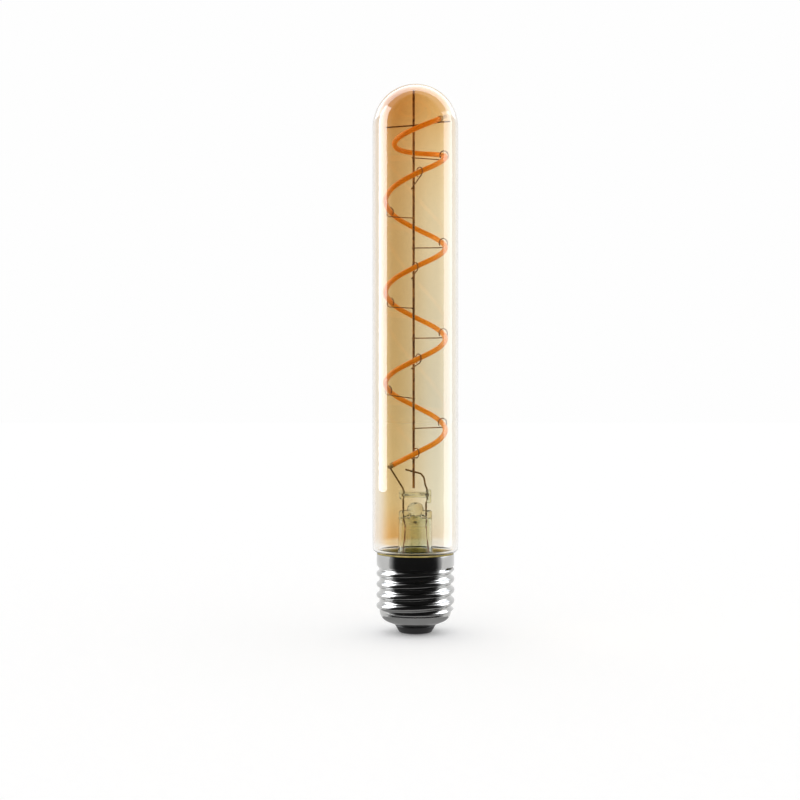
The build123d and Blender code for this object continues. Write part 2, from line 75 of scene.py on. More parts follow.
# %% [markdown]
# Every finish below is a small graph of shader nodes. One function adds a node, sets its
# options and sockets and links it, so that a graph reads as a list of steps. Colours are
# written as sRGB hex values, as a colour picker shows them, and turned to the linear
# values that shaders work with.

# %% Helpers for materials


def linear(hex_colour):
    """Linear RGBA, fully opaque, from an sRGB hex value such as c68a42."""
    channels = [int(hex_colour[i:i + 2], 16) / 255 for i in (0, 2, 4)]
    return [c / 12.92 if c <= 0.04045 else ((c + 0.055) / 1.055) ** 2.4 for c in channels] + [1.0]


def add_node(owner, kind, values=None, links=None, stops=None, **settings):
    """Add one node: options in settings, socket values, links to sockets, and a ramp's stops."""
    node = owner.node_tree.nodes.new(kind)
    for name, value in settings.items():
        setattr(node, name, value)
    for name, value in (values or {}).items():
        node.inputs[name].default_value = value
    for name, source in (links or {}).items():
        owner.node_tree.links.new(source, node.inputs[name])
    if stops:
        ramp = node.color_ramp.elements
        while len(ramp) < len(stops):
            ramp.new(1.0)
        for element, (place, colour) in zip(ramp, stops):
            element.position = place
            element.color = colour
    return node


def new_material(name):
    """An empty node material."""
    material = bpy.data.materials.new(name)
    material.use_nodes = True
    material.node_tree.nodes.clear()
    return material


def finish_with(material, shader):
    """Link the last shader to the material's output."""
    add_node(material, "ShaderNodeOutputMaterial", links={"Surface": shader.outputs[0]})
    print("material:", material.name)


# %% [markdown]
# The envelope is soda-lime glass with an amber coating. A real one is drawn as a tube,
# closed to a dome in a flame and sprayed, and the coating stops a few millimetres above
# the cap. The tint could be a volume inside the wall, but a coating colours each surface
# that light passes, and so does a glass shader's own colour. The colour runs down the
# tube: deepest in the dome, paler towards the cap, then clear. Across the tube its colour
# holds painted light and shade: darker on the left, paler on the right, and palest at the
# far left and right, a painted highlight where the soft boxes' white strips lie on the glass.
# Lamps would throw no light through a glass shader, so rays that test for shadow meet a
# tinted see-through one instead.

# %% Amber glass
coat_edge_z = 30.4 * MM
dome_top_z = 185 * MM
amber_glass = new_material("coated amber soda-lime glass")
place = add_node(amber_glass, "ShaderNodeTexCoord")
height = add_node(amber_glass, "ShaderNodeSeparateXYZ", links={0: place.outputs["Object"]})
# the sprayed edge wanders by about half a millimetre, so the height is shifted by slow noise
wander = add_node(
    amber_glass, "ShaderNodeTexNoise",
    values={"Scale": 1 / (6 * MM), "Detail": 3.0, "Roughness": 0.6},
    links={"Vector": place.outputs["Object"]})
shifted = add_node(
    amber_glass, "ShaderNodeMath", operation="MULTIPLY_ADD",
    values={1: 1.2 * MM}, links={0: wander.outputs["Fac"], 2: height.outputs["Z"]})
along = add_node(
    amber_glass, "ShaderNodeMapRange",
    values={"From Min": coat_edge_z, "From Max": dome_top_z}, links={"Value": shifted.outputs[0]})
# two copies of the coat's run down the tube, a shaded one and a lit one, for painted shade on the left and
# painted light on the right
shaded_side_coat = add_node(
    amber_glass, "ShaderNodeValToRGB", links={"Fac": along.outputs[0]},
    stops=[
        (0.000, linear("fdfdfb")),
        (0.008, linear("efcf9c")),
        (0.090, linear("eedcb6")),
        (0.300, linear("e6d3ac")),
        (0.730, linear("e6cea4")),
        (0.880, linear("e6c798")),
        (0.960, linear("e0b67c")),
    ])
lit_side_coat = add_node(
    amber_glass, "ShaderNodeValToRGB", links={"Fac": along.outputs[0]},
    stops=[
        (0.000, linear("fdfdfb")),
        (0.008, linear("f8eedc")),
        (0.090, linear("f8f3e2")),
        (0.300, linear("f2ecdb")),
        (0.730, linear("f8ecd2")),
        (0.880, linear("f6e2be")),
        (0.960, linear("f0d2a0")),
    ])
# painted light and shade: the left half takes the shaded copy of the coat, the right half the lit one
painted_side_light = add_node(
    amber_glass, "ShaderNodeMapRange", interpolation_type="SMOOTHSTEP",
    values={"From Min": -8 * MM, "From Max": 8 * MM}, links={"Value": height.outputs["X"]})
across = add_node(
    amber_glass, "ShaderNodeMix", data_type="RGBA",
    links={0: painted_side_light.outputs[0], 6: shaded_side_coat.outputs["Color"], 7: lit_side_coat.outputs["Color"]})
# painted highlight: the far left and right pale towards near-white, where the soft boxes' white strips lie on
# the glass
from_middle = add_node(amber_glass, "ShaderNodeMath", operation="ABSOLUTE", links={0: height.outputs["X"]})
painted_edge_highlight = add_node(
    amber_glass, "ShaderNodeMapRange", interpolation_type="SMOOTHSTEP",
    values={"From Min": 9.0 * MM, "From Max": 13.0 * MM, "To Max": 0.8},
    links={"Value": from_middle.outputs[0]})
tint = add_node(
    amber_glass, "ShaderNodeMix", data_type="RGBA", values={7: linear("f7f4f0")},
    links={0: painted_edge_highlight.outputs[0], 6: across.outputs[2]})
glass_shader = add_node(
    amber_glass, "ShaderNodeBsdfPrincipled",
    values={"Roughness": 0.0, "IOR": 1.52, "Transmission Weight": 1.0},
    links={"Base Color": tint.outputs[2]})
shadow_pass = add_node(amber_glass, "ShaderNodeBsdfTransparent", links={"Color": tint.outputs[2]})
rays = add_node(amber_glass, "ShaderNodeLightPath")
glass_or_pass = add_node(
    amber_glass, "ShaderNodeMixShader",
    links={0: rays.outputs["Is Shadow Ray"], 1: glass_shader.outputs[0], 2: shadow_pass.outputs[0]})
finish_with(amber_glass, glass_or_pass)

# %% [markdown]
# The stem is clear glass with a faint green tint. Its tube is drawn, which leaves fine
# flutes along it, and its top is melted and pressed round the wires, which leaves ripples.
# Both are bumps. The flutes are noise stretched along Z, and they fade out about 39 mm up,
# where the ripples begin. Light has to pass twelve or more glass surfaces to get through
# the tube, the stem and the tube inside it, so the renderer may follow a ray that far.

# %% Stem glass
cycles = bpy.context.scene.cycles
cycles.max_bounces = 32
cycles.transmission_bounces = 32
cycles.transparent_max_bounces = 32
stem_tint = linear("f0f4e8")
stem_glass = new_material("clear pressed stem glass")
place = add_node(stem_glass, "ShaderNodeTexCoord")
stretch = add_node(
    stem_glass, "ShaderNodeMapping", values={"Scale": (1.0, 1.0, 0.04)},
    links={"Vector": place.outputs["Object"]})
# flutes about 0.9 mm apart
flutes = add_node(
    stem_glass, "ShaderNodeTexNoise", values={"Scale": 1 / (0.9 * MM), "Detail": 1.0},
    links={"Vector": stretch.outputs[0]})
ripples = add_node(
    stem_glass, "ShaderNodeTexNoise",
    values={"Scale": 1 / (1.6 * MM), "Detail": 1.5, "Distortion": 0.8},
    links={"Vector": place.outputs["Object"]})
height = add_node(stem_glass, "ShaderNodeSeparateXYZ", links={0: place.outputs["Object"]})
melted = add_node(
    stem_glass, "ShaderNodeMapRange", interpolation_type="SMOOTHSTEP",
    values={"From Min": 38 * MM, "From Max": 40 * MM}, links={"Value": height.outputs["Z"]})
skin = add_node(
    stem_glass, "ShaderNodeMix", data_type="FLOAT",
    links={0: melted.outputs[0], 2: flutes.outputs["Fac"], 3: ripples.outputs["Fac"]})
bump_depth = add_node(
    stem_glass, "ShaderNodeMapRange", values={"To Min": 0.06 * MM, "To Max": 0.55 * MM},
    links={"Value": melted.outputs[0]})
ripple_bump = add_node(
    stem_glass, "ShaderNodeBump", values={"Strength": 0.8},
    links={"Height": skin.outputs[0], "Distance": bump_depth.outputs[0]})
clear_shader = add_node(
    stem_glass, "ShaderNodeBsdfPrincipled",
    values={"Base Color": stem_tint, "Roughness": 0.0, "IOR": 1.5, "Transmission Weight": 1.0},
    links={"Normal": ripple_bump.outputs["Normal"]})
shadow_pass = add_node(stem_glass, "ShaderNodeBsdfTransparent", values={"Color": stem_tint})
rays = add_node(stem_glass, "ShaderNodeLightPath")
glass_or_pass = add_node(
    stem_glass, "ShaderNodeMixShader",
    links={0: rays.outputs["Is Shadow Ray"], 1: clear_shader.outputs[0], 2: shadow_pass.outputs[0]})
finish_with(stem_glass, glass_or_pass)

# %% [markdown]
# The exhaust tube is drawn glass with a thin wall. Light passes a thin wall nearly straight,
# and only its edges mirror much. It stands inside the stem, where a full glass shader would
# bend light so often that little of it came out. So it is see-through, with a mirror that
# grows towards its edges.

# %% Exhaust tube glass
exhaust_glass = new_material("thin exhaust tube glass")
slant = add_node(exhaust_glass, "ShaderNodeLayerWeight", values={"Blend": 0.5})
edge_on = add_node(
    exhaust_glass, "ShaderNodeMath", operation="POWER", values={1: 4.0}, links={0: slant.outputs["Facing"]})
straight = add_node(exhaust_glass, "ShaderNodeBsdfTransparent", values={"Color": linear("fafaf4")})
mirror = add_node(
    exhaust_glass, "ShaderNodeBsdfPrincipled",
    values={"Base Color": linear("f2f6ea"), "Metallic": 1.0, "Roughness": 0.02})
thin_wall = add_node(
    exhaust_glass, "ShaderNodeMixShader",
    links={0: edge_on.outputs[0], 1: straight.outputs[0], 2: mirror.outputs[0]})
finish_with(exhaust_glass, thin_wall)

# %% [markdown]
# The cap is thin brass or steel sheet, rolled to a thread and plated with bright nickel.
# It is close to a mirror. Rolling leaves fine rings round it, which spread highlights a
# little along the axis, so the noise is squeezed along Z.

# %% Nickel plate
nickel_plate = new_material("bright nickel plate on rolled sheet")
place = add_node(nickel_plate, "ShaderNodeTexCoord")
# rings about 0.25 mm apart, coarser than the real 0.05 mm so that they show
squeeze = add_node(
    nickel_plate, "ShaderNodeMapping", values={"Scale": (0.15, 0.15, 4.0)},
    links={"Vector": place.outputs["Object"]})
rings = add_node(
    nickel_plate, "ShaderNodeTexNoise", values={"Scale": 1 / (1.0 * MM), "Detail": 3.0},
    links={"Vector": squeeze.outputs[0]})
ring_bump = add_node(
    nickel_plate, "ShaderNodeBump", values={"Strength": 0.08, "Distance": 0.02 * MM},
    links={"Height": rings.outputs["Fac"]})
haze = add_node(
    nickel_plate, "ShaderNodeTexNoise", values={"Scale": 1 / (4 * MM), "Detail": 4.0},
    links={"Vector": place.outputs["Object"]})
polish = add_node(
    nickel_plate, "ShaderNodeMapRange",
    values={"From Min": 0.35, "From Max": 0.75, "To Min": 0.13, "To Max": 0.21},
    links={"Value": haze.outputs["Fac"]})
tone = add_node(
    nickel_plate, "ShaderNodeMix", data_type="RGBA",
    values={6: linear("c2c2c1"), 7: linear("b0b0ae")}, links={0: haze.outputs["Fac"]})
nickel_shader = add_node(
    nickel_plate, "ShaderNodeBsdfPrincipled", values={"Metallic": 1.0},
    links={
        "Base Color": tone.outputs[2],
        "Roughness": polish.outputs[0],
        "Normal": ring_bump.outputs["Normal"],
    })
finish_with(nickel_plate, nickel_shader)

# %% [markdown]
# The insulator is moulded black glass or phenolic: dark, smooth, with a soft orange-peel
# skin that breaks its highlights.

# %% Black insulator
black_insulator = new_material("moulded black insulator")
place = add_node(black_insulator, "ShaderNodeTexCoord")
peel = add_node(
    black_insulator, "ShaderNodeTexNoise", values={"Scale": 1 / (0.8 * MM), "Detail": 2.0},
    links={"Vector": place.outputs["Object"]})
peel_bump = add_node(
    black_insulator, "ShaderNodeBump", values={"Strength": 0.25, "Distance": 0.03 * MM},
    links={"Height": peel.outputs["Fac"]})
black = add_node(
    black_insulator, "ShaderNodeMix", data_type="RGBA",
    values={6: linear("1a1a1b"), 7: linear("242424")}, links={0: peel.outputs["Fac"]})
insulator_shader = add_node(
    black_insulator, "ShaderNodeBsdfPrincipled", values={"Roughness": 0.38, "IOR": 1.5},
    links={"Base Color": black.outputs[2], "Normal": peel_bump.outputs["Normal"]})
finish_with(black_insulator, insulator_shader)

# %% [markdown]
# The basing cement is a phenolic paste filled with marble flour, baked to an olive-brown
# crust. It is matt, grainy and mottled.

# %% Basing cement
basing_cement = new_material("baked basing cement")
place = add_node(basing_cement, "ShaderNodeTexCoord")
mottle = add_node(
    basing_cement, "ShaderNodeTexNoise", values={"Scale": 1 / (2.2 * MM), "Detail": 5.0},
    links={"Vector": place.outputs["Object"]})
crust = add_node(
    basing_cement, "ShaderNodeValToRGB", links={"Fac": mottle.outputs["Fac"]},
    stops=[(0.30, linear("8a7c3c")), (0.55, linear("b5a45c")), (0.75, linear("cdbd80"))])
grain = add_node(
    basing_cement, "ShaderNodeTexNoise", values={"Scale": 1 / (0.35 * MM), "Detail": 3.0},
    links={"Vector": place.outputs["Object"]})
grain_bump = add_node(
    basing_cement, "ShaderNodeBump", values={"Strength": 0.7, "Distance": 0.08 * MM},
    links={"Height": grain.outputs["Fac"]})
cement_shader = add_node(
    basing_cement, "ShaderNodeBsdfPrincipled", values={"Roughness": 0.85},
    links={"Base Color": crust.outputs["Color"], "Normal": grain_bump.outputs["Normal"]})
finish_with(basing_cement, cement_shader)

# %% [markdown]
# The wires inside are drawn steel, nickel and copper. They differ in colour, in how dull
# they are and in how thick their oxide is, and otherwise share one look: a faintly uneven
# skin with patches of oxide. One function builds them from two colours, a roughness and
# how much of a metal the surface still is.

# %% Drawn wires


def drawn_wire(name, clean, oxidised, roughness, metallic=1.0):
    """Metal wire with patches of oxide and a faintly uneven skin; a thick oxide is less of a metal."""
    material = new_material(name)
    spot = add_node(material, "ShaderNodeTexCoord")
    # oxide patches about 1.5 mm long, as heat from the welds leaves them
    oxide = add_node(
        material, "ShaderNodeTexNoise", values={"Scale": 1 / (1.5 * MM), "Detail": 3.0},
        links={"Vector": spot.outputs["Object"]})
    colour = add_node(
        material, "ShaderNodeValToRGB", links={"Fac": oxide.outputs["Fac"]},
        stops=[(0.38, linear(clean)), (0.62, linear(oxidised))])
    dull = add_node(
        material, "ShaderNodeMapRange",
        values={"To Min": roughness - 0.08, "To Max": roughness + 0.12},
        links={"Value": oxide.outputs["Fac"]})
    skin = add_node(
        material, "ShaderNodeBump", values={"Strength": 0.3, "Distance": 0.02 * MM},
        links={"Height": oxide.outputs["Fac"]})
    shader = add_node(
        material, "ShaderNodeBsdfPrincipled", values={"Metallic": metallic},
        links={
            "Base Color": colour.outputs["Color"],
            "Roughness": dull.outputs[0],
            "Normal": skin.outputs["Normal"],
        })
    finish_with(material, shader)
    return material


dark_steel = drawn_wire("oxidised drawn steel wire", "a2763f", "6e4a24", 0.50, metallic=0.25)
lead_nickel = drawn_wire("oxidised nickel lead wire", "93794e", "6d542e", 0.40, metallic=0.4)
seal_wire = drawn_wire("copper-clad seal wire", "9c5a38", "6c3a24", 0.45)
copper_wire = drawn_wire("bare copper wire", "c77b52", "9a5636", 0.35)
terminal_strip = drawn_wire("plated terminal strip", "d0bc92", "9c8658", 0.32, metallic=0.4)
tinned_contact = drawn_wire("tinned contact rivet", "c9c6bf", "a19d94", 0.30)

# %% [markdown]
# The filament is a flexible strip of tiny blue diodes under orange phosphor in silicone.
# Light sinks a little into the silicone before it comes back, which is subsurface
# scattering, and its skin is satin. The phosphor also turns the blue in daylight to
# orange, as a highlighter pen does; that is a weak painted glow of its own, which shines
# the same whatever light falls on it. The diodes show through as faint darker bars across
# the strip. They follow the helix, so their place comes from the angle round the bulb's
# axis, 64 to a turn, about 1.1 mm apart.

# %% Phosphor silicone
diodes_per_turn = 64.0
phosphor = new_material("orange phosphor silicone")
place = add_node(phosphor, "ShaderNodeTexCoord")
cloud = add_node(
    phosphor, "ShaderNodeTexNoise", values={"Scale": 1 / (1.2 * MM), "Detail": 3.0},
    links={"Vector": place.outputs["Object"]})
parts = add_node(phosphor, "ShaderNodeSeparateXYZ", links={0: place.outputs["Object"]})
turn = add_node(
    phosphor, "ShaderNodeMath", operation="ARCTAN2", links={0: parts.outputs["Y"], 1: parts.outputs["X"]})
diode_phase = add_node(
    phosphor, "ShaderNodeMath", operation="MULTIPLY", values={1: diodes_per_turn}, links={0: turn.outputs[0]})
diode_wave = add_node(phosphor, "ShaderNodeMath", operation="SINE", links={0: diode_phase.outputs[0]})
diode_bars = add_node(
    phosphor, "ShaderNodeMapRange", interpolation_type="SMOOTHSTEP",
    values={"From Min": 0.2, "From Max": 0.9, "To Max": 0.35}, links={"Value": diode_wave.outputs[0]})
silicone = add_node(
    phosphor, "ShaderNodeValToRGB", links={"Fac": cloud.outputs["Fac"]},
    stops=[(0.30, linear("e28c10")), (0.70, linear("f0a022"))])
orange = add_node(
    phosphor, "ShaderNodeMix", data_type="RGBA", values={7: linear("c4701a")},
    links={0: diode_bars.outputs[0], 6: silicone.outputs["Color"]})
skin_bump = add_node(
    phosphor, "ShaderNodeBump", values={"Strength": 0.2, "Distance": 0.03 * MM},
    links={"Height": cloud.outputs["Fac"]})
# the emission is a painted glow: it stands in for the phosphor's fluorescence and shines the same in any
# light
phosphor_shader = add_node(
    phosphor, "ShaderNodeBsdfPrincipled",
    values={"Roughness": 0.45, "IOR": 1.41, "Subsurface Weight": 0.3,
            "Subsurface Radius": (1.0, 0.5, 0.15), "Subsurface Scale": 0.4 * MM,
            "Emission Color": linear("ff9a1a"), "Emission Strength": 0.15},
    links={"Base Color": orange.outputs[2], "Normal": skin_bump.outputs["Normal"]})
finish_with(phosphor, phosphor_shader)

# %% [markdown]
# The driver sits in the cap, out of sight in the finished bulb. Its board, packages, can
# and resistor still get their own plain finishes, so that an opened cap looks right.

# %% Driver parts


def moulded(name, dark, pale, grain_mm, roughness):
    """A moulded or lacquered part: two close colours in a fine grain."""
    material = new_material(name)
    spot = add_node(material, "ShaderNodeTexCoord")
    speckle = add_node(
        material, "ShaderNodeTexNoise", values={"Scale": 1 / (grain_mm * MM), "Detail": 4.0},
        links={"Vector": spot.outputs["Object"]})
    colour = add_node(
        material, "ShaderNodeValToRGB", links={"Fac": speckle.outputs["Fac"]},
        stops=[(0.35, linear(dark)), (0.65, linear(pale))])
    skin = add_node(
        material, "ShaderNodeBump", values={"Strength": 0.3, "Distance": 0.02 * MM},
        links={"Height": speckle.outputs["Fac"]})
    shader = add_node(
        material, "ShaderNodeBsdfPrincipled", values={"Roughness": roughness},
        links={"Base Color": colour.outputs["Color"], "Normal": skin.outputs["Normal"]})
    finish_with(material, shader)
    return material


board_mask = moulded("solder-masked glass epoxy", "1c5a38", "24704a", 0.8, 0.35)
chip_epoxy = moulded("moulded chip epoxy", "1b1b1c", "2b2b2c", 0.3, 0.6)
can_sleeve = moulded("sleeved capacitor can", "23242c", "32333d", 1.0, 0.3)
resistor_coat = moulded("lacquered ceramic resistor", "5f8272", "7a9c8b", 0.6, 0.4)

# %% [markdown]
# The CAD meshes are loose triangles. On a matt wire that doesn't show, but glass and
# polished metal would look faceted. A CAD mesh is never changed, so a shiny piece is a
# copy: its doubled vertices are merged, faces are shaded smooth, and edges sharper than a
# set angle stay crisp.

# %% Smooth copies of shiny CAD pieces


def smooth_piece(name, work, material, crisp_degrees=35):
    """A smooth-shaded object from bmesh work, with edges over the set angle left crisp."""
    for face in work.faces:
        face.smooth = True
    mesh = bpy.data.meshes.new(name)
    work.to_mesh(mesh)
    work.free()
    mesh.set_sharp_from_angle(angle=math.radians(crisp_degrees))
    mesh.materials.append(material)
    piece = bpy.data.objects.new(name, mesh)
    bpy.context.scene.collection.objects.link(piece)
    print(name, len(mesh.polygons), "faces")
    return piece


def finished_copy(node_name, material):
    """A merged, smooth-shaded copy of a CAD node that stands for it."""
    work = bmesh.new()
    work.from_mesh(nodes[node_name].data)
    bmesh.ops.remove_doubles(work, verts=work.verts, dist=0.0005 * MM)
    piece = smooth_piece(node_name + "_finish", work, material)
    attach(piece, "root")
    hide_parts(node_name)
    return piece


# %% [markdown]
# The record names a finish for each CAD node. The two glass tubes inside share one there,
# and the thin one gets its own material here.

# %% Give every CAD node its finish
slots = {s["node"]: s["material_slot"] for s in frame["record"]["subparts"]}
finishes = {
    "amber_glass": amber_glass,
    "stem_glass": stem_glass,
    "nickel_plate": nickel_plate,
    "black_insulator": black_insulator,
    "tinned_contact": tinned_contact,
    "basing_cement": basing_cement,
    "nickel_wire": lead_nickel,
    "seal_wire": seal_wire,
    "copper_wire": copper_wire,
    "dark_steel_wire": dark_steel,
    "phosphor_silicone": phosphor,
    "terminal_strip": terminal_strip,
    "circuit_board": board_mask,
    "chip_package": chip_epoxy,
    "capacitor_can": can_sleeve,
    "resistor_coat": resistor_coat,
}
shiny = ["stem_flare", "exhaust_tube", "bead_bar", "cap_shell", "cap_insulator", "centre_contact", "filament"]
for name, node in nodes.items():
    material = exhaust_glass if name == "exhaust_tube" else finishes[slots[name]]
    if name in shiny:
        piece = finished_copy(name, material)
    else:
        node.data.materials.clear()
        node.data.materials.append(material)
print("finishes given to", len(nodes), "nodes")

# %% [markdown]
# The glass tube is what every other piece is seen through, and a facet in it would bend
# the view behind. So it is not a copy but a new piece. Its wall is drawn once, as an
# outline in the XZ plane, first the outer side and then the inner: straight runs between
# a few points, a quarter circle for the dome, and bevelled corners at the waist and the
# shoulder. A full spin makes it round.

# %% Envelope
glass_low, glass_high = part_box("glass_envelope")
tube_radius = (glass_high[0] - glass_low[0]) / 2
dome_z = glass_high[2] - tube_radius
wall = 0.8 * MM
neck_radius = 12.2 * MM
shoulder_z = 27.2 * MM
outer_waist_bend = 0.45 * MM


def half_wall(work, inset, waist_bend, shoulder_bend):
    """One side of the wall's outline, from the neck's end up to the dome's top; returns its foot."""
    foot = work.verts.new((neck_radius - inset, 0, glass_low[2]))
    waist = work.verts.new((neck_radius - inset, 0, shoulder_z + inset))
    shoulder = work.verts.new((tube_radius - inset, 0, shoulder_z + inset))
    dome_foot = work.verts.new((tube_radius - inset, 0, dome_z))
    # a point near each end of the long straight run keeps its smooth shading level
    low = work.verts.new((tube_radius - inset, 0, shoulder_z + 3 * MM))
    high = work.verts.new((tube_radius - inset, 0, dome_z - 1 * MM))
    for start, end in ((foot, waist), (waist, shoulder), (shoulder, low), (low, high), (high, dome_foot)):
        work.edges.new((start, end))
    bmesh.ops.spin(
        work, geom=[dome_foot], cent=(0, 0, dome_z), axis=(0, 1, 0), dvec=(0, 0, 0),
        angle=math.radians(-90), steps=28)
    for corner, bend in ((waist, waist_bend), (shoulder, shoulder_bend)):
        bmesh.ops.bevel(
            work, geom=[corner], offset=bend, offset_type="OFFSET", segments=6, profile=0.5,
            affect="VERTICES", material=-1)
    return foot


work = bmesh.new()
outer_foot = half_wall(work, inset=0, waist_bend=outer_waist_bend, shoulder_bend=1.7 * MM)
inner_foot = half_wall(work, inset=wall, waist_bend=1.25 * MM, shoulder_bend=0.9 * MM)
work.edges.new((outer_foot, inner_foot))
bmesh.ops.spin(
    work, geom=work.verts[:] + work.edges[:], cent=(0, 0, 0), axis=(0, 0, 1), dvec=(0, 0, 0),
    angle=2 * math.pi, steps=144, use_merge=True)
# the spin leaves 144 points in one place at each of the dome's two poles
bmesh.ops.remove_doubles(work, verts=work.verts, dist=0.001 * MM)
bmesh.ops.recalc_face_normals(work, faces=work.faces)
tube = smooth_piece("glass_tube", work, amber_glass)
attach(tube, "root")
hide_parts("glass_envelope")
print("radius", round(tube_radius / MM, 2), "mm")

# %% [markdown]
# The cement fills the gap between the glass neck and the cap's skirt, and a little of it
# is squeezed out under the shoulder. It is seen through the neck's glass as an olive
# ring. In the CAD it touches the glass, and two surfaces in one place would flicker in a
# render, so this ring is drawn again a hair's breadth from the glass, spun, and made
# lumpy by pushing its points about with noise.

# %% Cement crust
hair = 0.04 * MM
lump_height = 0.1 * MM
cement_low, cement_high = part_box("cement_ring")
skirt_inside = 12.8 * MM
skirt_top_z = 26.7 * MM
lip_radius = cement_high[0] - lump_height
work = bmesh.new()
ring_outline = [
    (neck_radius + hair, cement_low[2]),
    (skirt_inside - hair, cement_low[2]),
    (skirt_inside - hair, skirt_top_z),
    (lip_radius, skirt_top_z + hair),
    (lip_radius, shoulder_z - hair),
    (neck_radius + outer_waist_bend, shoulder_z - hair),
    (neck_radius + hair, shoulder_z - outer_waist_bend),
]
corners = [work.verts.new((radius, 0, z)) for radius, z in ring_outline]
edges = [work.edges.new(pair) for pair in zip(corners, corners[1:] + corners[:1])]
bmesh.ops.subdivide_edges(work, edges=edges, cuts=3)
bmesh.ops.spin(
    work, geom=work.verts[:] + work.edges[:], cent=(0, 0, 0), axis=(0, 0, 1), dvec=(0, 0, 0),
    angle=2 * math.pi, steps=180, use_merge=True)
bmesh.ops.recalc_face_normals(work, faces=work.faces)
for vert in work.verts:
    # only the squeezed-out lip is free to be lumpy
    if vert.co.z > skirt_top_z and vert.co.xy.length > skirt_inside:
        lump = noise.noise(vert.co / (1.1 * MM)) * lump_height
        vert.co.xy += vert.co.xy.normalized() * lump
crust = smooth_piece("cement_crust", work, basing_cement, crisp_degrees=40)
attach(crust, "root")
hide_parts("cement_ring")

# %% [markdown]
# The studio is plain: a pale floor and a white surround, which light everything softly.
# Polished metal and glass have no look of their own, only that of what they mirror. So a
# soft box on each side and an arch above draw white strips along the glass, and a black
# card in front draws the dark band down the middle of the cap. The surround is a little
# weaker as a light than it is to look at.

# %% World


def looked_at(owner):
    """A node that is 1 for rays that look, straight or by mirror or glass, and 0 for light on matt."""
    paths = add_node(owner, "ShaderNodeLightPath")
    camera_or_gloss = add_node(
        owner, "ShaderNodeMath", operation="MAXIMUM",
        links={0: paths.outputs["Is Camera Ray"], 1: paths.outputs["Is Glossy Ray"]})
    return add_node(
        owner, "ShaderNodeMath", operation="MAXIMUM",
        links={0: camera_or_gloss.outputs[0], 1: paths.outputs["Is Transmission Ray"]})


world = bpy.data.worlds.new("white surround")
world.use_nodes = True
world.node_tree.nodes.clear()
bpy.context.scene.world = world
strength = add_node(
    world, "ShaderNodeMapRange", values={"To Min": 0.95, "To Max": 1.0},
    links={"Value": looked_at(world).outputs[0]})
surround = add_node(
    world, "ShaderNodeBackground", values={"Color": linear("fefefe")},
    links={"Strength": strength.outputs[0]})
add_node(world, "ShaderNodeOutputWorld", links={"Surface": surround.outputs[0]})
print("world ready")

# %% [markdown]
# The floor is white paper, lit by the surround alone. Real paper gives back a little less
# than it gets, so a weak glow, only for rays that look at it, brings it up to the
# surround's white at the horizon. It keeps the soft shadow under the cap.

# %% Floor
floor_paper = new_material("white studio paper")
place = add_node(floor_paper, "ShaderNodeTexCoord")
fibre = add_node(
    floor_paper, "ShaderNodeTexNoise", values={"Scale": 1 / (3 * MM), "Detail": 3.0},
    links={"Vector": place.outputs["Object"]})
paper_tone = add_node(
    floor_paper, "ShaderNodeMix", data_type="RGBA",
    values={6: linear("f2f2f2"), 7: linear("f6f6f6")}, links={0: fibre.outputs["Fac"]})
paper = add_node(floor_paper, "ShaderNodeBsdfDiffuse", links={"Color": paper_tone.outputs[2]})
lift_strength = add_node(
    floor_paper, "ShaderNodeMath", operation="MULTIPLY", values={1: 0.15},
    links={0: looked_at(floor_paper).outputs[0]})
lift = add_node(floor_paper, "ShaderNodeEmission", links={"Strength": lift_strength.outputs[0]})
lifted = add_node(floor_paper, "ShaderNodeAddShader", links={0: paper.outputs[0], 1: lift.outputs[0]})
finish_with(floor_paper, lifted)

floor_mesh = bpy.data.meshes.new("floor")
work = bmesh.new()
bmesh.ops.create_grid(work, x_segments=1, y_segments=1, size=4.0)
work.to_mesh(floor_mesh)
work.free()
floor_mesh.materials.append(floor_paper)
floor = bpy.data.objects.new("floor", floor_mesh)
bpy.context.scene.collection.objects.link(floor)
print("floor ready")

# %% [markdown]
# Two soft boxes stand left and right. A lamp bright enough to draw a white strip on glass,
# which mirrors a few hundredths of it, would burn out everything matt. So each box is two
# lamps in one place: a bright one that only reflections see, and a plain one that only
# matt surfaces see. The left one is large and further off, and the right one is near, so
# that its strip runs down to the shoulder. The floor is left out of both kinds, or it would
# glow round the bulb. Light linking does that: a collection of what a lamp leaves out.

# %% Soft boxes
unlit = bpy.data.collections.new("left out of the soft boxes")
unlit.objects.link(floor)
unlit.collection_objects[0].light_linking.link_state = "EXCLUDE"


def soft_box(name, radiance, mirrored, azimuth, distance, width, bottom, top):
    """An upright, slightly cool area light on one side, for reflections or for matt surfaces."""
    tall = top - bottom
    lamp = bpy.data.lights.new(name, "AREA")
    lamp.shape = "RECTANGLE"
    lamp.size = width
    lamp.size_y = tall
    lamp.energy = radiance * math.pi * width * tall
    lamp.color = (0.93, 0.95, 1.0)
    holder = bpy.data.objects.new(name, lamp)
    way = Vector((math.sin(math.radians(azimuth)), -math.cos(math.radians(azimuth)), 0))
    holder.location = way * distance + Vector((0, 0, (top + bottom) / 2))
    holder.rotation_euler = way.to_track_quat("Z", "Y").to_euler()
    # a box seen through the glass would stand there as a bare white block
    holder.visible_camera = False
    holder.visible_glossy = mirrored
    holder.visible_transmission = False
    holder.visible_diffuse = not mirrored
    holder.light_linking.receiver_collection = unlit
    bpy.context.scene.collection.objects.link(holder)
    print(name, "at", tuple(round(v, 3) for v in holder.location))


